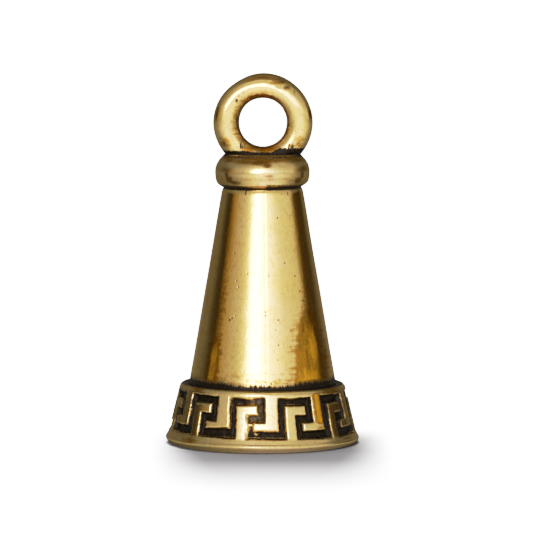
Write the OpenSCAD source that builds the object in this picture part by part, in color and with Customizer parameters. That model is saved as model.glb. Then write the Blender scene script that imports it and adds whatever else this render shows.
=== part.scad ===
// Cone charm: one hollow metal casting that stands on its rim, with a hanging loop on top,
// a barrel collar under the loop, and a flared band with a sunk Greek key round its foot.
// Millimetres. +Z is up, the origin is the centre of the rim, and the loop faces -Y and +Y.

/* [Band] */
// Diameter of the band's sloping side where it would meet the ground
band_foot_d = 10.3; // [10:0.1:10.8]
// Diameter of the band's sloping side where it would meet the band's top
band_top_d = 8.72; // [8.6:0.02:9]
// Height of the band
band_h = 3.24; // [3.16:0.02:3.4]
// Radius that rounds the band's lower edge
rim_round = 0.3; // [0.1:0.02:0.4]
// Radius that rounds the band's top edge
edge_round = 0.22; // [0.06:0.02:0.24]
// Depth of the crevice between the band's top and the cone
crevice = 0.16; // [0.1:0.02:0.24]

/* [Greek key] */
// Number of key turns round the band
key_count = 11; // [9:1:12]
// Height of the key's lower edge
key_low = 0.68; // [0.6:0.02:0.74]
// Height of the key's top edge
key_high = 2.88; // [2.7:0.02:2.9]
// Depth of the key's channel
key_depth = 0.28; // [0.2:0.02:0.34]
// Width of the key's channel
key_stroke = 0.36; // [0.26:0.02:0.4]
// Share of one turn at which the hook's inner upright starts
hook_in_share = 0.354; // [0.3:0.002:0.38]
// Share of one turn at which the hook's outer upright starts
hook_out_share = 0.587; // [0.56:0.002:0.64]
// Share of the key's height at which the hook's bar starts
hook_low_share = 0.42; // [0.38:0.01:0.46]
// Angle from the front to the middle of the nearest upright on the right
key_from = 12.9; // [0:0.1:36]

/* [Cone] */
// Diameter of the cone where it leaves the band
cone_foot_d = 7.86; // [7.6:0.02:8]
// Diameter of the cone under the collar
cone_top_d = 4.2; // [4.1:0.02:4.3]
// Height of the cone's top above the rim
cone_top = 13.52; // [13.2:0.02:13.8]

/* [Collar] */
// Widest diameter of the collar
collar_d = 5.02; // [4.8:0.02:5.3]
// Diameter of the collar at its top and bottom edges
collar_edge_d = 4.08; // [4:0.02:4.2]
// Height of the collar
collar_h = 1.9; // [1.8:0.02:2.1]

/* [Loop] */
// Diameter of the eye in the loop
eye_d = 2.64; // [2.4:0.02:2.8]
// Thickness of the loop, from the eye out
loop_wall = 1.3; // [1.1:0.02:1.4]
// Length of the straight wall inside the eye
eye_land = 0.42; // [0.3:0.02:0.5]
// How far the loop sinks into the collar
loop_sink = 0.88; // [0.7:0.02:0.96]

/* [Hollow] */
// Diameter of the socket in the foot
socket_d = 6; // [5.6:0.1:6.2]
// Depth of the socket
socket_depth = 4.2; // [3.6:0.1:4.4]
// Width of the bevel at the socket's mouth
mouth_bevel = 0.3; // [0.1:0.05:0.5]
// Diameter of the hollow at its closed end
hollow_end_d = 2.5; // [2.2:0.1:2.7]
// Metal left over the hollow's closed end, up to the cone's top
hollow_cap = 0.6; // [0.5:0.05:1]

/* [Hidden] */
$fn = 96;

edge_steps = 4;
barrel_steps = 12;
overlap = 0.02;
pitch = 360 / key_count;
// The band's side, as its radius at the rim's level and what it loses for each millimetre of height
flare = (band_foot_d - band_top_d) / 2 / band_h;
// The key's places within one turn, across in millimetres on the band's middle height
key_r = (band_foot_d + band_top_d) / 4;
key_w = 2 * PI * key_r / key_count;
hook_in = hook_in_share * key_w;
hook_out = hook_out_share * key_w;
hook_low = key_low + hook_low_share * (key_high - key_low);
// The bars along the foot are this much wider than the other strokes
foot_extra = 0.04;
first_edge = key_from - pitch * key_stroke / key_w / 2;
// The loop's ring: its wire is a little fatter than the wall, because the eye is drilled into it
wire_r = (pow(loop_wall, 2) + pow(eye_land / 2, 2)) / (2 * loop_wall);
ring_r = eye_d / 2 + loop_wall - wire_r;
collar_top = cone_top + collar_h;
loop_z = collar_top - loop_sink + eye_d / 2 + loop_wall;

function band_r(z) = band_foot_d / 2 - flare * z;
function arc(c, r, from, to, steps) =
    [for (i = [0:steps]) let (a = from + (to - from) * i / steps) c + r * [cos(a), sin(a)]];

// The flared foot, with both edges rounded and its top falling to a crevice at the cone
module band_body() {
    lean = atan(flare);
    rim_c = [band_r(0) - rim_round * (1 + sin(lean)) / cos(lean), rim_round];
    edge_z = band_h - edge_round;
    edge_c = [band_r(edge_z) - edge_round / cos(lean), edge_z];
    rotate_extrude() polygon(concat(
        [[0, 0]],
        arc(rim_c, rim_round, -90, lean, edge_steps),
        arc(edge_c, edge_round, lean, 90, edge_steps),
        [[cone_foot_d / 2 - overlap, band_h - crevice], [0, band_h - crevice]]));
}

// A place round the band, in millimetres from where a turn starts, as a distance across that turn's middle
function across(place) = key_r * sin((place / key_w - 0.5) * pitch);

// The outline of one turn's channel: up, over, down and back to the hook, then along the foot
module key_outline() {
    bar_low = key_high - key_stroke;
    foot_high = key_low + key_stroke + foot_extra;
    hook_high = hook_low + key_stroke;
    // The foot's bar ends inside the next turn's upright
    foot_end = key_w + key_stroke / 2;
    polygon([for (p = [
        [0, key_low], [0, key_high],
        [hook_out + key_stroke, key_high], [hook_out + key_stroke, hook_low],
        [hook_in + key_stroke, hook_low], [hook_in + key_stroke, foot_high],
        [foot_end, foot_high], [foot_end, key_low],
        [hook_in, key_low], [hook_in, hook_high],
        [hook_out, hook_high], [hook_out, bar_low],
        [key_stroke, bar_low], [key_stroke, key_low]]) [across(p[0]), p[1]]]);
}

// The whole channel, its floor as far below the band's side all the way round
module key() {
    inner = key_r / 2;
    intersection() {
        rotate_extrude() polygon([
            [band_r(0) - key_depth, 0],
            [band_foot_d, 0],
            [band_foot_d, band_h],
            [band_r(band_h) - key_depth, band_h]]);
        for (i = [0:key_count - 1]) rotate([0, 0, (i + 0.5) * pitch + first_edge])
            translate([0, -inner, 0]) rotate([90, 0, 0]) linear_extrude(band_foot_d / 2) key_outline();
    }
}

module band() {
    color("goldenrod") difference() {
        band_body();
        key();
    }
}

module cone() {
    foot = band_h - crevice - overlap;
    color("gold") translate([0, 0, foot])
        cylinder(r1 = cone_foot_d / 2, r2 = cone_top_d / 2, h = cone_top + overlap - foot);
}

// The barrel under the loop, its side one arc through both edges and the widest place
module collar() {
    bulge = (collar_d - collar_edge_d) / 2;
    side_r = (pow(bulge, 2) + pow(collar_h / 2, 2)) / (2 * bulge);
    side_c = [collar_d / 2 - side_r, collar_h / 2];
    half = asin(collar_h / 2 / side_r);
    color("darkkhaki") translate([0, 0, cone_top]) rotate_extrude() polygon(concat(
        [[0, 0]],
        arc(side_c, side_r, -half, half, barrel_steps),
        [[0, collar_h]]));
}

module loop() {
    color("khaki") translate([0, 0, loop_z]) rotate([90, 0, 0]) difference() {
        rotate_extrude() translate([ring_r, 0]) circle(r = wire_r);
        cylinder(d = eye_d, h = 4 * wire_r, center = true);
    }
}

// The socket with its bevelled mouth, and the taper above it that ends under the collar
module hollow() {
    taper_h = cone_top - hollow_cap - socket_depth;
    color("dimgray") {
        translate([0, 0, -overlap]) cylinder(d = socket_d, h = socket_depth + overlap);
        cylinder(r1 = socket_d / 2 + mouth_bevel, r2 = socket_d / 2, h = mouth_bevel);
        translate([0, 0, socket_depth]) cylinder(r1 = socket_d / 2, r2 = hollow_end_d / 2, h = taper_h);
    }
}

module charm() {
    difference() {
        union() {
            band();
            cone();
            collar();
            loop();
        }
        hollow();
    }
}

charm();
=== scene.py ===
import itertools
import math
from types import SimpleNamespace

import bpy
import numpy as np
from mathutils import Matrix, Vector

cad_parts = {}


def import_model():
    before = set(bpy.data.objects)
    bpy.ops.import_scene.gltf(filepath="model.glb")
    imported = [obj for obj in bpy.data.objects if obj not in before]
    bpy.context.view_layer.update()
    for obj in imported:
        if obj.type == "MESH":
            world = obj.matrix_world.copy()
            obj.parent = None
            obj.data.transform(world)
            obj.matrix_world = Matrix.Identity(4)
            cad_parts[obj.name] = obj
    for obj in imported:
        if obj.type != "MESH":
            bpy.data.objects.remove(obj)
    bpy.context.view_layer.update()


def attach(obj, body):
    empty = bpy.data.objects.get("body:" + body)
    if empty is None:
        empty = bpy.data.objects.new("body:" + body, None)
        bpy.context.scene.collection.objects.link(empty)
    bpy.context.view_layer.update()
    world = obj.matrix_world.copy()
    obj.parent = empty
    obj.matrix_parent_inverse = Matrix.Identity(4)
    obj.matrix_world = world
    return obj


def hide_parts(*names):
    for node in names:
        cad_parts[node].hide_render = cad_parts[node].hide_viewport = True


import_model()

# Sizes are in millimetres up to the moment a mesh is made, as in the solids
MM = 0.001

# The band, whose side loses FLARE of its radius for each millimetre of height
BAND_FOOT_R = 5.15
FLARE = 0.2438
LEAN = math.atan(FLARE)
BAND_H = 3.24
EDGE_ROUND = 0.22
SIDE_LOW, SIDE_HIGH = 0.54, 3.0

# The Greek key, its places across measured round the band at its middle height
KEY_TURNS = 11
KEY_LOW, KEY_MIDDLE, KEY_HIGH = 0.77, 1.78, 2.88
KEY_DEPTH = 0.28
KEY_STROKE = 0.36
KEY_FOOT_STROKE = 0.37
KEY_R = 4.755
KEY_W = 2 * math.pi * KEY_R / KEY_TURNS
HOOK_IN = 0.354 * KEY_W
HOOK_OUT = 0.587 * KEY_W
HOOK_LOW = 1.61
KEY_FROM = math.radians(12.9)

CONE_FOOT_R, CONE_FOOT_Z = 3.93, 3.06
CONE_TOP_R, CONE_TOP_Z = 2.14, 13.54
COLLAR_TOP_Z = 15.42
LOOP_X, LOOP_Z = 0.03, 17.09
LOOP_R, WIRE_R, EYE_R = 1.953, 0.667, 1.32
LEAN_BACK = 0.1
SOCKET_R, SOCKET_H = 3.0, 4.2
HOLLOW_END_R, HOLLOW_TOP, HOLLOW_ROUND = 1.25, 12.92, 0.15
MOUTH_R, MOUTH_H = 3.3, 0.32

# Points in a row of the skin: round the key, round the plain parts and inside the hollow
FINE, PLAIN, HALF = 64 * KEY_TURNS, 32 * KEY_TURNS, 16 * KEY_TURNS
# Points of the loop, round the ring and round its wire
AROUND, ACROSS = 144, 56

# Large odd numbers that turn a place and a seed into what looks like chance
MIX_X, MIX_Y, MIX_Z, MIX_SEED, MIX_LAST = 73856093, 19349663, 83492791, 2654435761, 1274126177


def smooth(low, high, x):
    """0 below low, 1 above high and an even S between them."""
    t = np.clip((x - low) / (high - low), 0, 1)
    return t * t * (3 - 2 * t)


def fade(low, high, x):
    """1 below low, 0 above high and an even S between them."""
    return 1 - smooth(low, high, x)


def hump(x, centre, width):
    """A smooth hump, 1 at its centre and about a third at width from it."""
    return np.exp(-((x - centre) / width) ** 2)


def oval(across, half_width, up, half_height):
    """A smooth oval hump of height 1, from how far a place is across and up from its centre."""
    return np.exp(-((across / half_width) ** 2) - (up / half_height) ** 2)


def turned(angle):
    """Angles in radians, brought to within half a turn of 0."""
    return np.angle(np.exp(1j * angle))


def bump_at(deg, centre, width):
    """A hump at one place round a circle. All three are in degrees."""
    return hump(np.degrees(turned(np.radians(deg - centre))), 0, width)


def lumps(points, size, seed):
    """Soft noise from -1 to 1 at points, its lumps about size wide. A seed always gives the same noise."""
    cell = np.floor(points / size).astype(np.int64)
    f = points / size - cell
    f = f * f * (3 - 2 * f)
    total = np.zeros(len(points))
    for corner in itertools.product((0, 1), repeat=3):
        x, y, z = (cell + corner).astype(np.uint64).T
        mixed = x * MIX_X ^ y * MIX_Y ^ z * MIX_Z ^ np.uint64(seed * MIX_SEED)
        mixed = (mixed ^ (mixed >> np.uint64(13))) * np.uint64(MIX_LAST)
        value = ((mixed ^ (mixed >> np.uint64(16))) & np.uint64(65535)).astype(float) / 32767.5 - 1
        total += value * np.prod(np.where(np.array(corner) == 1, f, 1 - f), axis=1)
    return total


def band_r(z):
    return BAND_FOOT_R - FLARE * z


def cone_r(z):
    return CONE_FOOT_R + (CONE_TOP_R - CONE_FOOT_R) * (z - CONE_FOOT_Z) / (CONE_TOP_Z - CONE_FOOT_Z)


def placed(phi, r, z):
    """Points at an angle from the front, a radius and a height."""
    return np.stack([r * np.sin(phi), -r * np.cos(phi), z], 1)


# The key's channel

# The strokes of one turn of the key, as left, right, low and high
STROKES = (
    (0, KEY_STROKE, KEY_LOW, KEY_HIGH),
    (0, HOOK_OUT + KEY_STROKE, KEY_HIGH - KEY_STROKE, KEY_HIGH),
    (HOOK_OUT, HOOK_OUT + KEY_STROKE, HOOK_LOW, KEY_HIGH),
    (HOOK_IN, HOOK_OUT + KEY_STROKE, HOOK_LOW, HOOK_LOW + KEY_STROKE),
    (HOOK_IN, HOOK_IN + KEY_STROKE, KEY_LOW, HOOK_LOW + KEY_STROKE),
    (HOOK_IN, KEY_W + KEY_STROKE, KEY_LOW, KEY_LOW + KEY_FOOT_STROKE),
)
# Where stray metal fills the channel: degrees from the front, height, half width, half height, share filled
FILLS = (
    (-9.9, 1.4, 0.1, 0.6, 1.0), (-7.6, 1.5, 0.17, 0.07, 0.8), (-7.6, 1.25, 0.2, 0.4, 0.3),
    (-3.8, 0.99, 0.18, 0.06, 0.75), (-8.0, 2.66, 0.26, 0.2, 0.32), (-8.0, 2.86, 0.2, 0.09, 0.9),
    (-11.8, 2.85, 0.25, 0.07, 0.6), (-0.6, 2.0, 0.2, 0.5, 0.25), (-52, 2.0, 0.3, 0.3, 0.4),
    (146, 1.2, 0.2, 0.2, 0.7), (206, 2.1, 0.2, 0.2, 0.5),
)


def from_channel(u, v):
    """How far a place on the band is outside the channel, less than 0 inside it. u runs round and v up."""
    best = np.full(u.shape, KEY_W)
    for left, right, low, high in STROKES:
        for turn in (-KEY_W, 0, KEY_W):
            across = np.abs(u - turn - (left + right) / 2) - (right - left) / 2
            up = np.abs(v - (low + high) / 2) - (high - low) / 2
            outside = np.hypot(np.maximum(across, 0), np.maximum(up, 0))
            best = np.minimum(best, outside + np.minimum(np.maximum(across, up), 0))
    return best


def filled_at(phi, z):
    """The share of the channel that stray metal fills at each place on the band."""
    empty = np.ones(len(phi))
    for degrees, height, half_width, half_height, share in FILLS:
        across = turned(phi - math.radians(degrees)) * KEY_R
        empty = empty * (1 - share * oval(across, half_width, z - height, half_height))
    return 1 - empty


def outside_channel(phi, z, points):
    """How far each place on the band is outside the channel as it was cast."""
    deg = np.degrees(phi)
    # The key hangs lower on the right, its foot rises on the left, and its uprights lean most on the left
    tilt = 0.075 * np.sin(phi) * (1 - smooth(1.4, 2.8, z) * (np.sin(phi) < 0))
    slant = 0.0236 * (1 - np.sin(phi)) / 2
    u = phi * KEY_R - (KEY_FROM * KEY_R - KEY_STROKE / 2) + slant * (z - KEY_MIDDLE)
    v = z + tilt + 0.02
    # Left of the front an upright and the foot's bar lie a little off the pattern
    u = u - 0.07 * bump_at(deg, -20.5, 4) * fade(1.6, 2.6, z)
    v = v - 0.12 * bump_at(deg, -25, 8) * smooth(0.95, 1.05, z) * fade(1.3, 1.5, z)
    # Every edge is shaky
    u = u + 0.035 * lumps(points, 1.7, 11) + 0.018 * lumps(points, 0.4, 12)
    v = v + 0.03 * lumps(points, 1.5, 13) + 0.018 * lumps(points, 0.4, 14)
    return from_channel(np.mod(u, KEY_W), v) + 0.016 * lumps(points, 0.17, 15)


def channel(phi, z, points):
    """How much of the channel's full depth is sunk at each place on the band, from 0 to about 1."""
    away = outside_channel(phi, z, points)
    sunk = smooth(-0.08, 0.09, -away) * (1 - filled_at(phi, z))
    rolled = 0.03 * np.exp(-np.maximum(away, 0) / 0.07) * smooth(0.45, 0.62, z) * fade(2.96, 3.02, z)
    return sunk * (1 + 0.1 * lumps(points, 0.22, 16)) + rolled


# The skin: rows of points round the axis, from the hollow's closed end out over the rim and up to the top

# The lip as (radius, height): from the ground up to its widest edge, on over a faint crease to the side,
# and the rows close beside its widest edge that keep it crisp
LIP_LOW = ((4.77, 0), (4.86, 0.03), (4.985, 0.08), (5.072, 0.14), (5.122, 0.2), (5.148, 0.26), (5.16, 0.331))
LIP_HIGH = (
    (5.159, 0.34), (5.149, 0.368), (5.136, 0.395), (5.121, 0.425),
    (5.1, 0.45), (5.079, 0.475), (5.064, 0.507), (5.049, 0.54),
)
LIP_UNDER, LIP_OVER = (5.1598, 0.326), (5.1572, 0.345)
# The collar's side from its foot up, as (radius, height). Its lower corner is tighter than its upper one
COLLAR_SIDE = (
    (2.05, 13.64), (2.14, 13.685), (2.3, 13.78), (2.41, 13.9), (2.465, 14.05), (2.5, 14.25), (2.51, 14.45),
    (2.498, 14.64), (2.442, 14.85), (2.36, 15.01), (2.26, 15.15), (2.14, 15.28), (2.05, 15.38),
)
# A shallow groove runs round the collar
GROOVE_Z, GROOVE_WIDTH, GROOVE_DEPTH = 14.24, 0.05, 0.006
# The parting line of the mould: its angle from the front and half the width of its step
SEAM_AT, SEAM_HALF = math.radians(4.5), 0.012


def line(columns, start, end, steps, part):
    """Rows from start up to but not including end, as (columns, r, z, part)."""
    return [(columns, *(np.array(start) + (np.array(end) - start) * i / steps), part) for i in range(steps)]


def arc(columns, centre, radius, start, end, steps, part):
    """Rows along an arc from start up to but not including end, both in degrees."""
    r, z = centre
    angles = np.radians(start) + np.radians(end - start) * np.arange(steps) / steps
    return [(columns, r + radius * math.cos(a), z + radius * math.sin(a), part) for a in angles]


def through(columns, places, steps, part):
    """Rows evenly spaced along a smooth curve through places."""
    at = np.array((places[0], *places, places[-1]))
    t = np.linspace(0, len(places) - 1, 12 * steps)
    k = np.minimum(t.astype(int), len(places) - 2)
    f = (t - k)[:, None]
    a, b, c, d = (at[k + i] for i in range(4))
    squared, cubed = 2 * a - 5 * b + 4 * c - d, 3 * b - a - 3 * c + d
    curve = 0.5 * (2 * b + (c - a) * f + squared * f ** 2 + cubed * f ** 3)
    gone = np.concatenate([[0], np.cumsum(np.hypot(*np.diff(curve, axis=0).T))])
    even = np.linspace(0, gone[-1], steps)
    return [(columns, np.interp(s, gone, curve[:, 0]), np.interp(s, gone, curve[:, 1]), part) for s in even]


def hollow_rows():
    """The hollow's closed end with its rounded corner, the taper, the socket and the bevelled mouth."""
    round_r, round_z = HOLLOW_END_R - HOLLOW_ROUND, HOLLOW_TOP - HOLLOW_ROUND
    rows = [(1, 0, HOLLOW_TOP, "hollow")]
    rows += line(HALF, (0.4, HOLLOW_TOP), (round_r, HOLLOW_TOP), 2, "hollow")
    rows += arc(HALF, (round_r, round_z), HOLLOW_ROUND, 90, 0, 3, "hollow")
    rows += line(HALF, (HOLLOW_END_R, round_z), (SOCKET_R, SOCKET_H), 16, "hollow")
    rows += line(HALF, (SOCKET_R, SOCKET_H), (SOCKET_R, MOUTH_H), 10, "hollow")
    return rows + line(HALF, (SOCKET_R, MOUTH_H), (MOUTH_R - 0.03, 0.03), 4, "hollow")


def rim_rows():
    """The flat rim that the charm stands on, and the lip round it."""
    rows = line(PLAIN, (MOUTH_R, 0.008), (MOUTH_R + 0.04, 0), 1, "rim")
    rows += line(PLAIN, (MOUTH_R + 0.05, 0), LIP_LOW[0], 4, "rim")
    low, high = through(PLAIN, LIP_LOW, 10, "lip"), through(PLAIN, LIP_HIGH, 10, "lip")
    rows += low[:-1] + [(PLAIN, *LIP_UNDER, "lip"), low[-1]]
    return rows + [high[0], (PLAIN, *LIP_OVER, "lip")] + high[1:-1]


def band_rows():
    """The band's side, its rounded top edge and its top as far as the crevice."""
    edge_z = BAND_H - EDGE_ROUND
    edge_r = band_r(edge_z) - EDGE_ROUND / math.cos(LEAN)
    side_end = edge_z + EDGE_ROUND * math.sin(LEAN)
    rows = line(FINE, (band_r(SIDE_LOW), SIDE_LOW), (band_r(SIDE_HIGH), SIDE_HIGH), 54, "band")
    rows += line(FINE, (band_r(SIDE_HIGH), SIDE_HIGH), (band_r(side_end), side_end), 1, "band")
    rows += arc(PLAIN, (edge_r, edge_z), EDGE_ROUND, math.degrees(LEAN), 90, 6, "edge")
    return rows + line(PLAIN, (edge_r, BAND_H), (cone_r(BAND_H) + 0.05, BAND_H - 0.13), 4, "edge")


def cone_rows():
    """The crevice, and the cone in three runs up to its neck. The rows are closer at both ends."""
    foot = BAND_H - 0.1
    rows = line(PLAIN, (cone_r(BAND_H) + 0.02, BAND_H - 0.16), (cone_r(foot), foot), 1, "foot")
    for low, high, steps in ((foot, 3.8, 8), (3.8, 13.1, 34), (13.1, 13.5, 4)):
        rows += line(PLAIN, (cone_r(low), low), (cone_r(high), high), steps, "cone")
    return rows + line(PLAIN, (2.12, 13.555), (2.05, 13.6), 1, "cone")


def collar_rows():
    """The collar's side and its flat top, closed at the axis."""
    rows = through(PLAIN, COLLAR_SIDE, 30, "collar")
    rows += line(PLAIN, (2.02, COLLAR_TOP_Z - 0.02), (1.99, COLLAR_TOP_Z), 1, "top")
    rows += line(PLAIN, (1.98, COLLAR_TOP_Z), (0.3, COLLAR_TOP_Z), 5, "top")
    return rows + [(1, 0, COLLAR_TOP_Z, "top")]


def stitch(rows):
    """The faces between rows of points.

    A row of one point is a pole, and a row may have half or twice the points of the next.
    """
    faces, start = [], 0
    for (n, *_), (m, *_) in zip(rows, rows[1:]):
        low, high = start, start + n
        for k in range(max(n, m)):
            a, b = low + k % n, low + (k + 1) % n
            c, d = high + k % m, high + (k + 1) % m
            if n == m:
                faces.append((a, b, d, c))
            elif n == 1:
                faces.append((a, d, c))
            elif m == 1:
                faces.append((a, b, c))
            elif m == 2 * n and k % 2 == 0:
                this, following, last = low + k // 2, low + (k // 2 + 1) % n, high + (k + 2) % m
                faces += [(this, d, c), (this, following, d), (following, last, d)]
            elif n == 2 * m and k % 2 == 0:
                this, following, last = high + k // 2, high + (k // 2 + 1) % m, low + (k + 2) % n
                faces += [(a, b, this), (b, following, this), (b, last, following)]
        start += n
    return faces


def seam(phi):
    """1 on the casting's right half and 0 on its left, with a step at the parting line front and back."""
    past = turned(phi - SEAM_AT)
    return smooth(-SEAM_HALF, SEAM_HALF, past) * fade(math.pi - SEAM_HALF, math.pi, past)


def skin_points(rows):
    """Every point of the skin, with the key and the casting's unevenness, as an array."""
    phi = np.concatenate([2 * np.pi * np.arange(n) / n for n, *_ in rows])
    r, z, part = (np.concatenate([np.full(row[0], row[i]) for row in rows]) for i in (1, 2, 3))
    even = placed(phi, r, z)
    on_band, on_edge, on_cone, on_collar = (part == name for name in ("band", "edge", "cone", "collar"))

    drop = np.where(on_band, KEY_DEPTH * channel(phi, z, even), 0)
    r = r - drop * math.cos(LEAN)
    z = z - drop * math.sin(LEAN)
    outer = np.isin(part, ("lip", "band", "edge", "cone", "collar"))
    r = r + np.where(outer, 0.010 * lumps(even, 2.6, 21) + 0.004 * lumps(even, 0.9, 22), 0)
    # The two halves of the cone don't quite meet, and its right side is streaked up and down
    step = 0.008 * (seam(phi) - 0.5)
    r = r + np.where(on_cone, step + 0.005 * lumps(even * np.array((1, 1, 0.35)), 0.6, 25), 0)
    streaks = 0.012 * lumps(even * np.array((1, 1, 0.25)), 0.22, 24)
    r = r + np.where(on_cone, streaks * hump(np.degrees(phi), 50, 14) * fade(6.5, 8.5, z), 0)
    # The lower half of the collar's right side was cast a little higher than the left
    lower = fade(13.85, 14.15, z)
    z = z + np.where(on_collar, 0.05 * seam(phi) * lower * smooth(13.55, 13.7, z), 0)
    r = r - np.where(on_collar, GROOVE_DEPTH * hump(z, GROOVE_Z, GROOVE_WIDTH), 0)
    # The band stands out a little at its foot. Its lip and its top edge slant down to the right
    r = r + np.where(on_band, 0.5 * np.maximum(0.79 - z, 0) ** 2, 0)
    level = np.where(on_edge, 1, smooth(0.02, 0.25, z) * fade(0.36, 0.8, z))
    slanting = on_band | on_edge | (part == "lip")
    z = z - np.where(slanting, 0.05 * np.maximum(np.sin(phi), -0.2) * level, 0)
    z = z - np.where(on_edge, 0.03, 0)
    # The hollow is left rough, but not at its pole
    r = r + np.where((part == "hollow") & (r > 0.3), 0.03 * lumps(even, 0.7, 23), 0)
    return placed(phi, r, z)


# The loop, and both made one

def loop_points(around, across):
    """The loop's points, with the eye's wall a little flattened and the marks of the casting."""
    steps = [2 * np.pi * np.arange(count) / count for count in (around, across)]
    a, b = (angle.ravel() for angle in np.meshgrid(*steps, indexing="ij"))
    turn = np.degrees(a)
    radial = LOOP_R + WIRE_R * np.cos(b)
    soft = 0.05
    radial = np.where(radial < EYE_R + soft, EYE_R + soft * np.exp((radial - EYE_R - soft) / soft), radial)
    depth = WIRE_R * np.sin(b)
    even = np.stack([radial * np.cos(a), depth, LOOP_Z + radial * np.sin(a)], 1)
    swell = 0.010 * lumps(even, 1.4, 31) + 0.005 * lumps(even, 0.5, 32)
    # Hand filing left the ring flatter at the top left and wider at its sides
    filed = 0.03 * bump_at(turn, 5, 30) + 0.02 * bump_at(turn, 180, 25) - 0.06 * bump_at(turn, 122, 22)
    swell = swell + smooth(-0.1, 0.9, np.cos(b)) * filed
    narrowed = 0.04 + 0.025 * (bump_at(turn, 0, 40) + bump_at(turn, 180, 40))
    swell = swell + smooth(-0.1, 0.9, -np.cos(b)) * narrowed
    # The dent where the sprue was broken off, outside at the top right
    dent = oval(turn - 66, 15, np.sin(b) + 0.75, 0.35) * (np.cos(b) > 0)
    swell = swell - dent * (0.02 + 0.035 * lumps(even, 0.2, 33))
    radial = radial + swell * np.cos(b)
    # The ring is a little twisted at the top left, and its upper part leans back
    depth = depth - 0.2 * (radial - LOOP_R) * bump_at(turn, 132, 28)
    rise = radial * np.sin(a) - 1.0
    depth = depth + swell * np.sin(b) + LEAN_BACK * (rise + np.hypot(rise, 0.3)) / 2
    return np.stack([LOOP_X + radial * np.cos(a), depth, LOOP_Z + radial * np.sin(a)], 1)


def loop_faces(around, across):
    def at(i, j):
        return (i % around) * across + j % across

    places = itertools.product(range(around), range(across))
    return [(at(i, j), at(i, j + 1), at(i + 1, j + 1), at(i + 1, j)) for i, j in places]


def solid(name, points, faces):
    mesh = bpy.data.meshes.new(name)
    mesh.from_pydata((points * MM).tolist(), [], faces)
    mesh.validate()
    mesh.shade_smooth()
    piece = bpy.data.objects.new(name, mesh)
    bpy.context.scene.collection.objects.link(piece)
    return piece


def joined(body, loop):
    """The body and the loop as one closed mesh, in the body's object."""
    union = body.modifiers.new("union", "BOOLEAN")
    union.operation, union.solver, union.object = "UNION", "EXACT", loop
    depsgraph = bpy.context.evaluated_depsgraph_get()
    mesh = bpy.data.meshes.new_from_object(body.evaluated_get(depsgraph))
    body.modifiers.clear()
    old = body.data
    body.data = mesh
    bpy.data.meshes.remove(old)
    bpy.data.objects.remove(loop)
    mesh.name = body.name
    mesh.shade_smooth()
    return body


# What the finish needs to know about each point

# Dark spots left by the casting: degrees from the front, height, half width, half height and strength
SPOTS = (
    (-4, 15.04, 0.45, 0.09, 0.5), (6.5, 14.94, 0.2, 0.12, 0.58), (-45, 14.16, 0.16, 0.1, 0.3),
    (-24, 13.47, 0.06, 0.1, 0.9), (28, 13.46, 0.05, 0.08, 0.8), (-16, 13.47, 0.05, 0.05, 0.8),
    (38, 13.42, 0.05, 0.12, 0.7), (28, 14.22, 0.3, 0.06, 0.26), (160, 14.3, 0.3, 0.1, 0.7),
    (214, 14.9, 0.2, 0.1, 0.6), (110, 14.0, 0.2, 0.07, 0.6),
)
# Soft brown marks on the collar, given in the same way. Those at the sides, from 37 to 57 degrees round, are
# painted shade; the others are stains.
SMEARS = (
    (-4, 15.05, 0.6, 0.13, 1.3), (6, 14.95, 0.26, 0.14, 1.4), (-25, 15.08, 0.55, 0.13, 0.8),
    (-49, 14.35, 0.18, 0.24, 1.2), (-45, 14.17, 0.28, 0.19, 1.5), (-37, 14.02, 0.4, 0.12, 1.3),
    (57, 14.35, 0.19, 0.24, 1.3), (50, 14.12, 0.34, 0.18, 1.4), (38, 14.13, 0.36, 0.13, 0.6),
    (8, 14.39, 0.32, 0.1, 0.95), (9, 14.2, 0.5, 0.09, 0.7),
)
# Stains on the loop's front: x, height, half width and strength
STAINS = (
    (1.3, 18.98, 0.2, 0.5), (0.9, 19.3, 0.16, 0.36), (1.7, 18.75, 0.12, 0.4), (-2.0, 16.0, 0.1, 0.6),
    (-2.2, 16.3, 0.07, 0.45), (-1.85, 15.9, 0.2, 0.3), (-1.38, 18.27, 0.13, 0.5), (-1.2, 18.5, 0.13, 0.46),
    (-1.55, 18.0, 0.08, 0.35), (2.0, 16.4, 0.09, 0.5), (-1.0, 18.68, 0.12, 0.34), (-1.1, 15.83, 0.26, 0.52),
    (1.55, 15.86, 0.22, 0.55), (1.78, 16.05, 0.16, 0.42), (1.9, 16.0, 0.2, 0.34), (2.1, 16.7, 0.08, 0.36),
    (2.35, 16.9, 0.1, 0.3), (0.6, 19.45, 0.1, 0.3), (-0.4, 19.5, 0.14, 0.26),
)
# The left edge of the deep gold wedge on the cone's right, a painted warm reflection: heights, and degrees
# from the front
WEDGE_Z = (3.4, 4.3, 5.1, 6.4, 7.0, 8.2)
WEDGE_DEG = (25, 28, 28.5, 33.5, 38, 47)
# How much darker the inside of the hollow is made
HOLLOW_DARKER = 0.42


def blob(deg, r, z, mark, even=2.0):
    """How strong one mark is at each point. The higher even is, the harder are the mark's edges."""
    degrees, height, half_width, half_height, strength = mark
    across = turned(np.radians(deg - degrees)) * r
    return strength * np.exp(-(((across / half_width) ** 2 + ((z - height) / half_height) ** 2) ** even))


def band_soot_and_shade(phi, z, points):
    """The black in the key's channel, reaching wider at the sides as painted shade over the walls, and a thin
    painted shade on the tiles there.
    """
    deg = np.degrees(phi)
    # Painted shade: at the sides the black covers the walls' glints, and a thin shade lies on the tiles
    wider = 0.07 * smooth(20, 42, np.abs(deg + 3))
    black = smooth(-0.08, 0.1, -outside_channel(phi, z, points) - 0.02 + wider)
    black = black * np.maximum(1 - 1.3 * filled_at(phi, z), 0)
    shade = 0.3 * smooth(36, 62, np.abs(deg + 4)) * (np.abs(deg) < 110) * smooth(0.5, 0.8, z)
    return np.maximum(black, shade)


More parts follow.
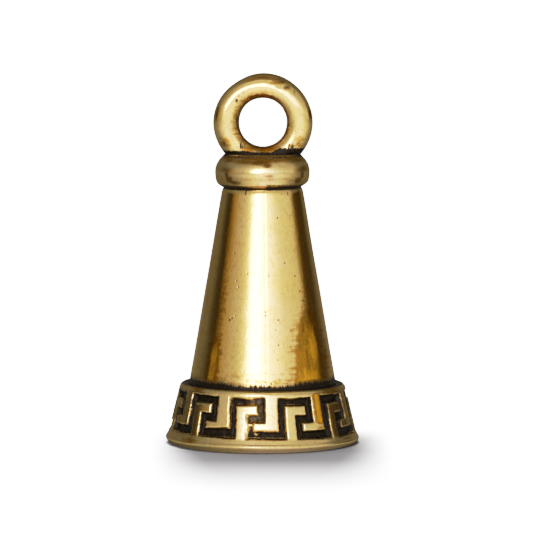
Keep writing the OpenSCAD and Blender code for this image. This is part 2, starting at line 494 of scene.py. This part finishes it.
def band_deep(deg, z, black):
    """The amber on an upright right of the front, along the band's edges and behind. On the upright and the
    right and left edges it is a painted warm reflection.

    In the channel, in front, it is a painted sheen.
    """
    # Painted warm reflection on the upright and the band's right and left edges
    upright = 1.9 * bump_at(deg, 39.5, 3.1) * (0.35 * smooth(0.7, 1.1, z) + 0.65 * smooth(1.35, 1.6, z))
    upright = upright * fade(2.88, 3.05, z)
    right = 0.8 * bump_at(deg, 56, 14) * smooth(2.7, 2.95, z)
    left = 0.7 * bump_at(deg, -50, 7) * (smooth(2.7, 2.9, z) + fade(0.6, 0.8, z))
    behind = 0.7 * bump_at(deg, 200, 20)
    # Painted sheen of the front light on the channel's black
    painted_sheen = 1.9 * bump_at(deg, -5, 9) * smooth(1.3, 1.5, z)
    return np.where(black > 0.45, painted_sheen, np.maximum.reduce([upright, right, left, behind]))


def past_wedge(deg, z):
    """How many degrees a place on the cone is to the right of the wedge's left edge."""
    return deg - np.interp(z, WEDGE_Z, WEDGE_DEG)


def cone_soot_and_shade(deg, z):
    """The black at the cone's foot, higher at the sides than in front, and at its neck, with painted shade
    along the wedge's edge and on the right.
    """
    reach = 3.22 + 0.16 * smooth(8, 42, np.abs(deg))
    foot = fade(reach - 0.25, reach + 0.55, z)
    neck = smooth(13.54 + 0.02 * smooth(10, 20, deg), 13.62, z)
    neck = neck * (0.55 + 0.45 * smooth(4, 16, np.abs(deg + 4)))
    # Painted shade: an olive band along the wedge's edge, and a dark strip on the right
    olive = 0.28 * hump(past_wedge(deg, z), 5.5, 4.5) * smooth(4.7, 5.4, z) * fade(7.0, 8.4, z)
    shadowed = 0.22 * bump_at(deg, 60, 6) * fade(5.8, 7.4, z)
    return np.maximum.reduce([foot, neck, olive, shadowed])


def cone_deep(deg, z, soot_and_shade):
    """The deep gold at the cone's foot and behind. The wedge on its right with its amber core and teeth, the
    low left and the right flank are a painted warm reflection with a painted glint.
    """
    past = past_wedge(deg, z)
    # Painted warm reflection: the wedge, its amber core with a painted glint, the teeth, the low left and the
    # flank
    wedge = np.maximum(smooth(-4.5, 4.5, past), 0.3 * smooth(-15, -3, past))
    wedge = wedge * fade(52, 68, deg) * fade(6.8, 8.2, z)
    core = 1.3 * bump_at(deg, 50, 4) * hump(z, 5.35, 0.5)
    core = core + 0.5 * bump_at(deg, 48, 5) * fade(5.8, 7.2, z)
    core = core + 0.9 * bump_at(deg, 40, 8) * fade(3.7, 4.6, z)
    core = np.maximum(core, 0.3 * smooth(9, 16, past) * fade(5.2, 6.6, z))
    teeth = 0.45 * hump(past, 1, 5) * smooth(5.4, 6.2, z) * fade(7.6, 9.5, z)
    low_left = 1.3 * bump_at(deg, -47, 6.5) * fade(5.0, 6.4, z)
    low_left = low_left + 0.5 * bump_at(deg, -42, 5) * fade(8, 11, z)
    flank = 0.55 * smooth(52, 58, deg) * fade(62, 86, deg) * fade(5.2, 7.6, z)
    foot = 0.4 * fade(3.4, 4.8, z)
    behind = 0.8 * bump_at(deg, 165, 35) * fade(4.5, 8.5, z)
    deep = np.maximum.reduce([wedge * (1 + np.minimum(core, 1)), teeth, foot, low_left, flank, behind])
    return np.minimum(deep, 2 - smooth(0.2, 0.4, soot_and_shade))


def collar_soot_and_shade(deg, z):
    """The black under the collar and at its top edge, both thinner in front, and a painted shade on the lower
    right.
    """
    low = 13.68 + 0.06 * smooth(12, 30, np.abs(deg + 3))
    foot = fade(low, low + 0.19, z) * (0.55 + 0.45 * smooth(4, 16, np.abs(deg + 4)))
    top = 0.95 * smooth(15.2, 15.4, z) * (0.35 + 0.65 * smooth(6, 18, np.abs(deg)))
    # Painted shade on the collar's lower right
    lower_right_shade = 0.4 * smooth(3, 6, deg) * fade(90, 120, deg) * fade(13.86, 14.02, z)
    return np.maximum.reduce([foot, top, lower_right_shade])


def collar_stain_and_shade(deg, r, z):
    """The brown on the collar: a faint line round its front, painted shade on its sides and at its foot, and
    the soft marks.

    The line is lower on the seam's left than on its right.
    """
    right = smooth(2, 5, deg)
    above = z - 14.17 - 0.03 * right
    line_half = np.where(above > 0, 0.12, 0.035 + 0.03 * right)
    level_line = 0.45 * (np.exp(-(above / line_half) ** 2) * fade(30, 48, np.abs(deg)))
    # Painted shade on the collar's sides and under it at its foot
    sides = 0.42 * smooth(32, 50, np.abs(deg + 2)) * fade(110, 140, np.abs(deg))
    sides = sides * (1 - 0.6 * smooth(14.25, 14.5, z)) * fade(14.75, 14.95, z)
    under = 0.85 * fade(13.72, 13.92, z)
    return np.maximum.reduce([level_line, sides, under] + [blob(deg, r, z, mark, 1.1) for mark in SMEARS])


def loop_soot_and_shade(x, y, z):
    """The black in the creases where the loop meets the collar and in stains on its front, and a painted
    shade on the eye's wall.
    """
    above = z - COLLAR_TOP_Z
    outer = smooth(0.45, 0.95, np.abs(x))
    height = 0.18 + 0.08 * outer + 0.2 * outer * (x > 0)
    crease = np.clip(0.5 + 2.2 * (0.68 - above / height), 0, 1) * (0.7 + 0.3 * outer)
    ring = np.hypot(x - LOOP_X, z - LOOP_Z)
    # Painted shade on the eye's wall, heavier on the left
    right = smooth(-0.6, 0.6, x)
    wall = (0.46 - 0.34 * right) * fade(EYE_R, EYE_R + 0.38 - 0.14 * right, ring)
    soot_and_shade = np.maximum(crease, wall)
    for stain_x, stain_z, half_width, strength in STAINS:
        near = np.exp(-((x - stain_x) ** 2 + (z - stain_z) ** 2) / half_width ** 2) * (y < 0)
        soot_and_shade = np.maximum(soot_and_shade, strength * near)
    return soot_and_shade


def loop_deep(x, y, z):
    """The deep gold in the eye, wider on its left, which is a painted warm reflection, and on the loop's foot
    and in the flaw at its top right.
    """
    ring = np.hypot(x - LOOP_X, z - LOOP_Z)
    left = smooth(-0.8, 0.8, LOOP_X + 0.6 * (z - LOOP_Z) - x)
    # Painted warm reflection in the eye
    eye = (0.4 + 0.25 * left) * fade(EYE_R + 0.1 * left, EYE_R + 0.2 + 0.4 * left, ring)
    neck = 0.8 * fade(15.7, 16.1, z) * fade(0.8, 1.1, np.abs(x + 0.12) - 0.12)
    flaw = 0.8 * oval(x - 0.85, 0.5, z - 19.22, 0.16) * (y < 0)
    sides = 0.75 * oval(np.abs(x) - 1.95, 0.3, z - 16.1, 0.35) * (y < 0)
    return np.maximum.reduce([eye, neck, flaw, sides])


def finish_at(points):
    """How black each point is, how deep the gold and how brown: from 0 on bright metal up. The black and
    brown include painted shade, the deep gold painted warm reflection.
    """
    x, y, z = points.T
    r = np.hypot(x, y)
    phi = np.arctan2(x, -y)
    deg = np.degrees(phi)
    wall = cone_r(z)
    tube = np.hypot(np.hypot(x - LOOP_X, z - LOOP_Z) - LOOP_R, y)

    on_side = (z > 0.3) & (z < 3.02) & (r > 4.05)
    on_edge = (z >= 3.0) & (z < 3.4) & (r >= wall + 0.03)
    on_cone = (z > 3.04) & (z < 13.59) & (np.abs(r - wall) < 0.14)
    on_loop = (z > COLLAR_TOP_Z + 0.015) & (tube < WIRE_R + 0.12)
    on_top = (z > COLLAR_TOP_Z - 0.06) & ~on_loop
    on_collar = (z > 13.55) & (r > 1.95) & ~on_loop & ~on_cone
    inside = (r < wall - 0.3) & (z < HOLLOW_TOP + 0.05) & (z > 0.02) & (r < SOCKET_R + 0.35)

    in_channel = band_soot_and_shade(phi, z, points)
    soot_and_shade = np.where(on_side, in_channel, 0)
    soot_and_shade = np.where(on_edge, fade(4.2, 4.38, r), soot_and_shade)
    soot_and_shade = np.where(on_cone, cone_soot_and_shade(deg, z), soot_and_shade)
    soot_and_shade = np.where(on_collar, collar_soot_and_shade(deg, z), soot_and_shade)
    soot_and_shade = np.where(on_loop, loop_soot_and_shade(x, y, z), soot_and_shade)
    soot_and_shade = np.where(on_top, 0.5 + 0.5 * fade(WIRE_R, WIRE_R + 0.5, tube), soot_and_shade)
    for mark in SPOTS:
        soot_and_shade = np.where(on_collar | on_cone, np.maximum(soot_and_shade, blob(deg, r, z, mark)), soot_and_shade)
    soot_and_shade = np.where(inside, HOLLOW_DARKER, soot_and_shade)

    deep = np.where(on_cone, cone_deep(deg, z, soot_and_shade), 0)
    deep = np.where(on_side | on_edge, band_deep(deg, z, in_channel), deep)
    deep = np.where(on_collar, 0.7 * smooth(14.95, 15.15, z), deep)
    deep = np.where(on_loop, loop_deep(x, y, z), deep)
    # The gold is a little deeper wherever there is some black
    deep = np.maximum(deep, 0.35 * smooth(0.05, 0.35, soot_and_shade))
    return soot_and_shade, deep, np.where(on_collar, collar_stain_and_shade(deg, r, z), 0)


def round_at(points):
    """Coordinates for marks that run round or up the casting: the direction and the height.

    They jump nowhere. Within 2 mm of the axis the place itself stands in for the direction, so that
    marks don't gather at the axis.
    """
    x, y, z = points.T
    r = np.maximum(np.hypot(x, y), 2)
    return np.stack([4 * x / r, 4 * y / r, z], 1)


def give(mesh, name, values):
    """Keeps one value or vector for each point on the mesh, for the material to read."""
    kind, field = ("FLOAT", "value") if values.ndim == 1 else ("FLOAT_VECTOR", "vector")
    attribute = mesh.attributes.new(name, kind, "POINT")
    attribute.data.foreach_set(field, values.astype(np.float32).ravel())


# Materials

class Nodes:
    """Short calls that add nodes to one node tree."""

    def __init__(self, tree):
        self.tree = tree
        tree.nodes.clear()

    def add(self, kind, settings=None, **inputs):
        node = self.tree.nodes.new(kind)
        for key, value in (settings or {}).items():
            setattr(node, key, value)
        for key, value in inputs.items():
            self.put(node.inputs[key.replace("_", " ")], value)
        return node

    def put(self, socket, value):
        if isinstance(value, bpy.types.NodeSocket):
            self.tree.links.new(value, socket)
        else:
            socket.default_value = value

    def fill(self, node, *values):
        """Gives a node its inputs in their order."""
        for socket, value in zip(node.inputs, values):
            self.put(socket, value)
        return node

    def math(self, operation, a, b=0.0):
        return self.fill(self.add("ShaderNodeMath", {"operation": operation}), a, b).outputs[0]

    def times(self, a, b):
        return self.math("MULTIPLY", a, b)

    def minus(self, a, b):
        return self.math("SUBTRACT", a, b)

    def plus(self, *terms, clamp=False):
        """The sum of the terms. With clamp it is kept between 0 and 1."""
        total = terms[0]
        for term in terms[1:]:
            total = self.math("ADD", total, term)
        total.node.use_clamp = clamp
        return total

    def swing(self, noise, size, middle=0.5):
        """Noise as a swing to both sides of 0."""
        return self.times(self.minus(noise, middle), size)

    def frayed(self, value, noise, full, clamp=False):
        """A value made uneven by noise: not where it is 0, and fully where it is above full."""
        return self.plus(value, self.times(noise, self.ease(value, 0.0, full)), clamp=clamp)

    def ease(self, value, low, high, start=0.0, end=1.0, kind="SMOOTHSTEP"):
        """A value's way from low to high as a way from start to end."""
        node = self.add("ShaderNodeMapRange", {"interpolation_type": kind})
        return self.fill(node, value, low, high, start, end).outputs["Result"]

    def blend(self, share, a, b):
        """A colour that is a at a share of 0 and b at 1."""
        node = self.add("ShaderNodeMix", {"data_type": "RGBA"})
        for socket, value in ((node.inputs[0], share), (node.inputs[6], a), (node.inputs[7], b)):
            self.put(socket, value)
        return node.outputs[2]

    def vector(self, operation, a, b):
        return self.fill(self.add("ShaderNodeVectorMath", {"operation": operation}), a, b).outputs["Vector"]

    def distance(self, a, b):
        return self.fill(self.add("ShaderNodeVectorMath", {"operation": "DISTANCE"}), a, b).outputs["Value"]

    def from_middle(self, x, y):
        """How far a place on the floor is from the charm's axis."""
        return self.math("SQRT", self.plus(self.times(x, x), self.times(y, y)))

    def noise(self, vector, scale, detail=2.0, rough=0.5):
        node = self.add("ShaderNodeTexNoise", Vector=vector, Scale=scale, Detail=detail, Roughness=rough)
        return node.outputs["Fac"]

    def stretch(self, vector, scale):
        return self.add("ShaderNodeMapping", Vector=vector, Scale=scale).outputs["Vector"]

    def place(self):
        """Where a point is on its object, in millimetres."""
        return self.stretch(self.add("ShaderNodeTexCoord").outputs["Object"], (1 / MM, 1 / MM, 1 / MM))

    def kept(self, name, output="Fac"):
        """What give() put on the mesh."""
        return self.add("ShaderNodeAttribute", {"attribute_name": name}).outputs[output]


GOLD = (0.93, 0.62, 0.19, 1)
PALE_GOLD = (0.93, 0.67, 0.27, 1)
DEEP_GOLD = (0.46, 0.2, 0.01, 1)
# Bright amber paints the glints in the warm reflections on the cone and band
BRIGHT_AMBER = (0.92, 0.47, 0.02, 1)
BROWN = (0.13, 0.084, 0.024, 1)
UMBER = (0.25, 0.12, 0.015, 1)
BLACK = (0.006, 0.0035, 0.001, 1)
GREY_BLACK = (0.043, 0.034, 0.014, 1)
# The colour of the painted sheen on the black
SHEEN_COLOUR = (0.13, 0.1, 0.05, 1)
# What black and other unmetallic places throw back
BLACK_GLOSS, BLACK_TINT = 0.18, (1, 0.85, 0.6, 1)
RELIEF = 0.004 * MM

# Small pits on the cone, as degrees from the front, height and size
PITS = (
    (20.1, 12.18, 0.06), (9.9, 12.82, 0.04), (-27.8, 8.87, 0.07), (-25, 8.56, 0.06), (-32, 6.82, 0.09),
    (-29.5, 6.92, 0.07), (-26, 7.04, 0.06), (6.7, 9.16, 0.05), (36.5, 9.11, 0.06), (41, 8.31, 0.06),
    (3.1, 7.28, 0.05), (3.0, 7.08, 0.06), (15.4, 6.85, 0.07), (12.2, 6.34, 0.05), (14.4, 5.55, 0.07),
    (25.3, 5.43, 0.05), (-15.8, 9.25, 0.05), (25.4, 9.81, 0.06), (-33.3, 10.32, 0.05), (-68, 10, 0.06),
    (13, 4.78, 0.05), (7.4, 3.55, 0.07), (120, 8.5, 0.08), (175, 6.4, 0.09), (183, 6.2, 0.07),
    (205, 10.4, 0.07), (262, 7.6, 0.08), (95, 5.2, 0.07),
)


def noises(n, place):
    """The noises that the finish shares. Two of them run up and round the casting."""
    wrap = n.kept("round", "Vector")
    return SimpleNamespace(
        broad=n.noise(place, 0.9, 2.0),
        mottle=n.noise(place, 3.2, 3.0, 0.6),
        fine=n.noise(place, 10.0, 4.0, 0.65),
        grain=n.noise(n.stretch(place, (1, 1, 0.55)), 6.5, 3.0, 0.7),
        up=n.noise(n.stretch(wrap, (7.0, 7.0, 0.9)), 1.0, 3.0, 0.6),
        across=n.noise(n.stretch(wrap, (0.7, 0.7, 7.0)), 1.0, 3.0, 0.65),
    )


def pits(n, place, fine):
    """Small pits: the listed ones, and cells of which only some are sunk."""
    wobble = n.add("ShaderNodeTexNoise", Vector=place, Scale=14.0, Detail=1.0).outputs["Color"]
    shaken = n.add("ShaderNodeMix", {"data_type": "VECTOR"})
    n.put(shaken.inputs[0], 0.06)
    n.put(shaken.inputs[4], place)
    n.put(shaken.inputs[5], n.vector("ADD", place, n.vector("SUBTRACT", wobble, (0.5, 0.5, 0.5))))
    pit = 0.0
    for degrees, height, size in PITS:
        a, r = math.radians(degrees), cone_r(height)
        away = n.distance(shaken.outputs[1], (r * math.sin(a), -r * math.cos(a), height))
        pit = n.math("MAXIMUM", pit, n.ease(away, size, 0.35 * size))
    cells = n.add("ShaderNodeTexVoronoi", Vector=place, Scale=1.9, Randomness=1.0)
    chosen = n.ease(n.add("ShaderNodeSeparateColor", Color=cells.outputs["Color"]).outputs[0], 0.7, 0.72)
    speck = n.ease(n.plus(cells.outputs["Distance"], n.times(fine, 0.08)), 0.12, 0.06)
    return n.math("MAXIMUM", pit, n.times(n.times(speck, chosen), 0.6))


def gold_colour(n, place, noise, deep, deepened):
    """The bare metal from pale gold to deep gold and amber. Where deep is high the amber is a painted warm
    reflection with painted glints.
    """
    # The collar and the band are worn paler than the cone
    height = n.add("ShaderNodeSeparateXYZ", Vector=place).outputs[2]
    collar = n.minus(n.ease(height, 13.5, 13.8), n.ease(height, 15.4, 16.2, 0.0, 0.8))
    worn = n.plus(collar, n.ease(height, 3.3, 3.0))
    worn = n.plus(n.times(worn, 0.6), n.times(n.ease(noise.broad, 0.35, 0.7), 0.5), clamp=True)
    gold = n.blend(worn, GOLD, PALE_GOLD)
    gold = n.blend(n.times(n.ease(noise.mottle, 0.5, 0.75), 0.2), gold, DEEP_GOLD)
    gold = n.blend(n.times(n.ease(noise.grain, 0.5, 0.72), 0.3), gold, DEEP_GOLD)
    glow = n.plus(deep, n.swing(n.plus(noise.up, noise.grain), 1.8, 1.02))
    amber = n.blend(n.ease(glow, 0.9, 2.0), DEEP_GOLD, BRIGHT_AMBER)
    return n.blend(n.times(deepened, 0.96), gold, amber)


def black_colour(n, noise, deep):
    """The black in the recesses, greyer in places, and with a painted sheen where deep is above 1."""
    grey = n.ease(n.plus(n.times(noise.fine, 0.5), n.times(noise.grain, 0.5)), 0.53, 0.7)
    painted_sheen = n.times(n.ease(deep, 1.0, 1.8), n.ease(noise.grain, 0.35, 0.6))
    return n.blend(painted_sheen, n.blend(grey, BLACK, GREY_BLACK), SHEEN_COLOUR)


def antique_gold():
    """Cast gold metal, worn bright, with black in its recesses and deep gold and brown round them, and with
    painted shade, painted warm reflection and a painted sheen in places.
    """
    material = bpy.data.materials.new("antique_gold")
    material.use_nodes = True
    n = Nodes(material.node_tree)
    place = n.place()
    soot_and_shade, deep, stain_and_shade = n.kept("soot_and_shade"), n.kept("deep"), n.kept("stain_and_shade")
    noise = noises(n, place)
    pit = pits(n, place, noise.fine)

    # Black stays where the metal is sunk and where shade is painted, with a ragged edge drawn out up and down
    reach = n.frayed(soot_and_shade, n.plus(n.swing(noise.up, 0.9), n.swing(noise.fine, 0.5)), 0.35)
    black = n.ease(reach, 0.36, 0.62)
    brown = n.ease(reach, 0.14, 0.5)
    stain_and_shade_share = n.frayed(stain_and_shade, n.plus(n.swing(noise.mottle, 0.7), n.swing(noise.fine, 0.5)), 0.5, clamp=True)
    # Deep gold has a mottled edge with short level teeth
    teeth = n.plus(n.swing(noise.across, 1.5), n.swing(noise.mottle, 1.0), n.swing(noise.fine, 0.6))
    deepened = n.ease(n.frayed(deep, teeth, 0.3), 0.1, 0.85)

    gold = gold_colour(n, place, noise, deep, deepened)
    gold = n.blend(n.times(pit, 0.85), gold, BROWN)
    gold = n.blend(n.times(brown, 0.8), gold, BROWN)
    gold = n.blend(n.times(stain_and_shade_share, 0.95), gold, UMBER)
    colour = n.blend(black, gold, black_colour(n, noise, deep))

    # Thin stains and painted shade are dull, thick ones smoother
    dulled = n.minus(n.ease(stain_and_shade, 0.0, 0.2, 0.0, 0.12), n.ease(stain_and_shade, 0.5, 0.9, 0.0, 0.1))
    rough = n.plus(
        0.08, n.times(noise.grain, 0.12), n.times(deepened, 0.12), n.times(n.ease(deep, 1.0, 1.6), 0.24),
        n.times(brown, 0.16), dulled, n.times(black, 0.06), clamp=True)
    height = n.plus(
        n.times(noise.fine, 0.8), n.times(noise.grain, 1.3), n.times(noise.across, 0.5),
        n.times(noise.mottle, 0.8), n.times(pit, -3.0), n.times(n.times(black, noise.fine), 5.0))
    bump = n.add("ShaderNodeBump", Strength=1.0, Distance=RELIEF, Height=height).outputs["Normal"]

    metal = n.ease(black, 0.0, 1.0, 1.0, 0.0, "LINEAR")
    shader = n.add(
        "ShaderNodeBsdfPrincipled", Base_Color=colour, Metallic=metal, Roughness=rough, Normal=bump,
        Specular_IOR_Level=BLACK_GLOSS, Specular_Tint=BLACK_TINT)
    n.add("ShaderNodeOutputMaterial", Surface=shader.outputs[0])
    return material


def casting():
    """The whole charm as one mesh, with its finish."""
    rows = hollow_rows() + rim_rows() + band_rows() + cone_rows() + collar_rows()
    body = solid("cone_charm", skin_points(rows), stitch(rows))
    charm = joined(body, solid("loop", loop_points(AROUND, ACROSS), loop_faces(AROUND, ACROSS)))
    mesh = charm.data
    places = np.zeros(len(mesh.vertices) * 3)
    mesh.vertices.foreach_get("co", places)
    places = places.reshape(-1, 3) / MM
    for name, values in zip(("soot_and_shade", "deep", "stain_and_shade"), finish_at(places)):
        give(mesh, name, values)
    give(mesh, "round", round_at(places))
    mesh.materials.clear()
    mesh.materials.append(antique_gold())
    return charm


# The studio

WHITE, COOL, WARM, AMBER = (1, 1, 1), (1, 0.94, 1.2), (1, 0.8, 0.4), (1, 0.6, 0.12)
# What the metal sees, as (degrees from the front towards the right, colour, brightness), each easing into
# the next. On the floor: bright in front and dull at the sides and behind
FLOOR_RING = (
    (-180, WHITE, 0.15), (-115, WHITE, 0.15), (-86, WHITE, 0.19), (-62, WHITE, 0.33), (-41, WHITE, 0.52),
    (-22, WHITE, 0.8), (0, COOL, 1.2), (22, COOL, 1.1), (38, WHITE, 0.8), (50, WHITE, 0.66),
    (69, WHITE, 0.46), (94, WHITE, 0.22), (127, WHITE, 0.14), (180, WHITE, 0.15),
)
# At eye level: one hot soft box left of the front, its light falling off to the right, and dark between
# the lights
EYE_RING = (
    (-180, WHITE, 0.17), (-125, WHITE, 0.15), (-108, WARM, 0.05), (-94, AMBER, 0.025), (-84, AMBER, 0.32),
    (-75, WARM, 0.42), (-60, WHITE, 0.53), (-45, WHITE, 0.7), (-37, WHITE, 0.95), (-31, COOL, 1.6),
    (-26, COOL, 3.6), (-20, COOL, 11.0), (-5, COOL, 11.0), (0, COOL, 3.2), (18, COOL, 2.3), (40, COOL, 1.15),
    (58, WHITE, 0.88), (82, WHITE, 0.7), (89, WARM, 0.38), (98, AMBER, 0.06), (127, AMBER, 0.035),
    (143, WHITE, 0.15), (180, WHITE, 0.17),
)
# Above it the dark gaps are duller
MIDDLE_RING = (
    (-180, WHITE, 0.13), (-110, WHITE, 0.16), (-84, WHITE, 0.24), (-72, WHITE, 0.4), (-49, WHITE, 0.57),
    (-36, WHITE, 0.78), (-27, COOL, 1.4), (-19, COOL, 3.5), (-14, COOL, 7.0), (-4, COOL, 7.0), (6, COOL, 3.0),
    (22, COOL, 1.6), (34, WHITE, 0.95), (50, WHITE, 0.75), (66, WHITE, 0.62), (88, WHITE, 0.55),
    (102, WHITE, 0.18), (125, WHITE, 0.15), (180, WHITE, 0.13),
)
HIGH_RING = (
    (-180, WHITE, 0.11), (-120, WHITE, 0.17), (-80, WHITE, 0.32), (-60, WHITE, 0.4), (-40, WHITE, 0.57),
    (-24, WHITE, 0.7), (-12, COOL, 0.85), (0, WHITE, 0.68), (18, WHITE, 0.76), (36, WHITE, 0.68),
    (52, WHITE, 0.55), (88, WHITE, 0.48), (112, WHITE, 0.14), (180, WHITE, 0.11),
)
OVERHEAD, ZENITH = (0.22, 0.17, 0.12, 1), (0.1, 0.08, 0.055, 1)
# What the camera sees behind everything, and the floor's colour out of the painted shadow and in it
BACKGROUND = (2.6, 2.6, 2.6, 1)
FLOOR_COLOUR, SHADE_COLOUR = (0.9, 0.885, 0.89, 1), (0.0, 0.0, 0.0, 1)
# The floor is 4 m wide and lies a hundredth of a millimetre under the rim
FLOOR_SIZE, FLOOR_Z = 4.0, -0.01 * MM
# How strong the painted shadow round the foot is as the camera sees it and as the metal does
SEEN_SHADE, REFLECTED_SHADE = 2.4, 0.85
# The light on the floor: its strength, how wide it looks, and where it stands, in degrees
SUN_POWER, SUN_WIDTH, SUN_TURN, SUN_HEIGHT = 8.0, 35, -171, 75
CAMERA_AT, TARGET = Vector((0.22, -249, 31.7)) * MM, Vector((0.22, 0, 9.4)) * MM
FIELD_OF_VIEW = 6.5
# The picture's tones, as (shown, light): straight up to the middle and rolled off above it, as in a camera
TONES = ((0.25, 0.1), (0.62, 0.26), (0.8, 0.45), (0.9, 0.66))
BRIGHTEST = 2.5


def lit(colour, power):
    return (*(part * power for part in colour), 1)


def ring_of_light(n, azimuth, ring):
    light = lit(*ring[0][1:])
    for (start, *_), (end, colour, power) in zip(ring, ring[1:]):
        light = n.blend(n.ease(azimuth, start, end, kind="LINEAR"), light, lit(colour, power))
    return light


def azimuth_of(n, x, y):
    """Degrees from the front towards the right."""
    return n.times(n.math("ARCTAN2", x, n.times(y, -1.0)), 180 / math.pi)


def shade_on_floor(n, x, y, strength):
    """A painted shadow on the floor round the foot, as the share of the light it leaves; x and y in
    millimetres.

    It is painted as if the light came mostly from above and behind, so the shade is as wide as the band and
    fades out in front.
    """
    beside = n.plus(n.ease(y, -8.0, -4.5, 0.0, 0.13), n.ease(n.from_middle(x, y), 5.35, 5.0, 0.0, 0.25))
    forward = n.minus(n.minus(1.0, n.ease(y, -2.0, -21.0)), beside)
    behind = n.minus(1.0, n.ease(y, 0.0, 6.0))
    aside = n.math("ABSOLUTE", n.minus(x, 0.5))
    inner = n.plus(n.times(n.math("MINIMUM", y, -4.0), 0.16), 4.4)
    within = n.minus(1.0, n.ease(aside, inner, 6.5))
    depth = n.times(n.times(forward, behind), within)
    return n.math("EXPONENT", n.times(depth, -strength))


def floor_material():
    """Pale and matt, with a painted shadow round the foot, as the camera sees it. For everything else it
    gives off the floor's ring of light, a painted glow.
    """
    material = bpy.data.materials.new("pale_floor")
    material.use_nodes = True
    n = Nodes(material.node_tree)
    seen = n.add("ShaderNodeLightPath").outputs["Is Camera Ray"]
    x, y, _ = n.add("ShaderNodeSeparateXYZ", Vector=n.place()).outputs
    bounce = ring_of_light(n, azimuth_of(n, x, y), FLOOR_RING)
    # In the metal the floor is brightest close round the foot, and a little brighter again some way off; the
    # painted shadow in front of the foot dims it
    away = n.from_middle(x, y)
    far_off = n.minus(n.ease(away, 30, 80, 0.0, 0.3), n.ease(away, 150, 300, 0.0, 0.3))
    level = n.plus(n.ease(away, 5.0, 6.3, 0.4, 2.1), far_off)
    level = n.minus(level, n.ease(away, 7.0, 16.0, 0.0, 0.9))
    level = n.times(level, shade_on_floor(n, x, y, REFLECTED_SHADE))
    bounce = n.vector("MULTIPLY", bounce, n.add("ShaderNodeCombineXYZ", X=level, Y=level, Z=level).outputs[0])
    pale = n.blend(shade_on_floor(n, x, y, SEEN_SHADE), SHADE_COLOUR, FLOOR_COLOUR)
    glowing = n.add("ShaderNodeEmission", Color=bounce).outputs[0]
    matt = n.add("ShaderNodeBsdfDiffuse", Color=pale).outputs[0]
    shader = n.fill(n.add("ShaderNodeMixShader"), seen, glowing, matt)
    n.add("ShaderNodeOutputMaterial", Surface=shader.outputs[0])
    return material


def floor_plane():
    half = FLOOR_SIZE / 2
    mesh = bpy.data.meshes.new("floor")
    corners = [(-half, -half, 0), (half, -half, 0), (half, half, 0), (-half, half, 0)]
    mesh.from_pydata(corners, [], [(0, 1, 2, 3)])
    mesh.materials.append(floor_material())
    plane = bpy.data.objects.new("floor", mesh)
    plane.location.z = FLOOR_Z
    bpy.context.scene.collection.objects.link(plane)
    return plane


def world():
    """White for the camera. For everything else one ring of light stands above the other."""
    made = bpy.data.worlds.new("studio")
    made.use_nodes = True
    n = Nodes(made.node_tree)
    towards = n.add("ShaderNodeTexCoord").outputs["Generated"]
    x, y, z = n.add("ShaderNodeSeparateXYZ", Vector=towards).outputs
    azimuth = azimuth_of(n, x, y)
    elevation = n.times(n.math("ARCSINE", z), 180 / math.pi)
    # The dark gaps at the sides reach down to the floor
    lifted = n.plus(elevation, n.ease(n.math("ABSOLUTE", azimuth), 45, 80, 0.0, 5.5))
    rings = [ring_of_light(n, azimuth, ring) for ring in (FLOOR_RING, EYE_RING, MIDDLE_RING, HIGH_RING)]
    light = n.blend(n.ease(lifted, 2.5, 10.5), rings[0], rings[1])
    for low, high, above in ((12, 18, rings[2]), (23, 33, rings[3]), (61, 67, OVERHEAD), (74, 88, ZENITH)):
        light = n.blend(n.ease(elevation, low, high), light, above)
    seen = n.add("ShaderNodeLightPath").outputs["Is Camera Ray"]
    colour = n.blend(seen, light, BACKGROUND)
    n.add("ShaderNodeOutputWorld", Surface=n.add("ShaderNodeBackground", Color=colour).outputs[0])
    bpy.context.scene.world = made


def floor_light():
    """A wide sun high up behind the charm. It lights the floor and isn't reflected in the metal."""
    sun_data = bpy.data.lights.new("floor_light", "SUN")
    sun_data.energy = SUN_POWER
    sun_data.angle = math.radians(SUN_WIDTH)
    sun = bpy.data.objects.new("floor_light", sun_data)
    turn, height = math.radians(SUN_TURN), math.radians(SUN_HEIGHT)
    aside, forward = math.sin(turn) * math.cos(height), -math.cos(turn) * math.cos(height)
    sun.rotation_euler = Vector((aside, forward, math.sin(height))).to_track_quat("Z", "Y").to_euler()
    sun.visible_glossy = False
    bpy.context.scene.collection.objects.link(sun)


def camera():
    data = bpy.data.cameras.new("camera")
    made = bpy.data.objects.new("camera", data)
    made.location = CAMERA_AT
    made.rotation_euler = (TARGET - CAMERA_AT).to_track_quat("-Z", "Y").to_euler()
    data.sensor_width = 36
    data.lens = data.sensor_width / 2 / math.tan(math.radians(FIELD_OF_VIEW) / 2)
    data.clip_start, data.clip_end = 0.01, 10
    bpy.context.scene.collection.objects.link(made)
    bpy.context.scene.camera = made


def tones():
    view = bpy.context.scene.view_settings
    view.view_transform = "Standard"
    view.use_curve_mapping = True
    mapping = view.curve_mapping
    mapping.white_level = (BRIGHTEST, BRIGHTEST, BRIGHTEST)
    for shown, light in TONES:
        mapping.curves[3].points.new(light, shown)
    mapping.update()


charm = casting()
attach(charm, "root")
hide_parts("charm")

floor = floor_plane()
world()
floor_light()
camera()
tones()
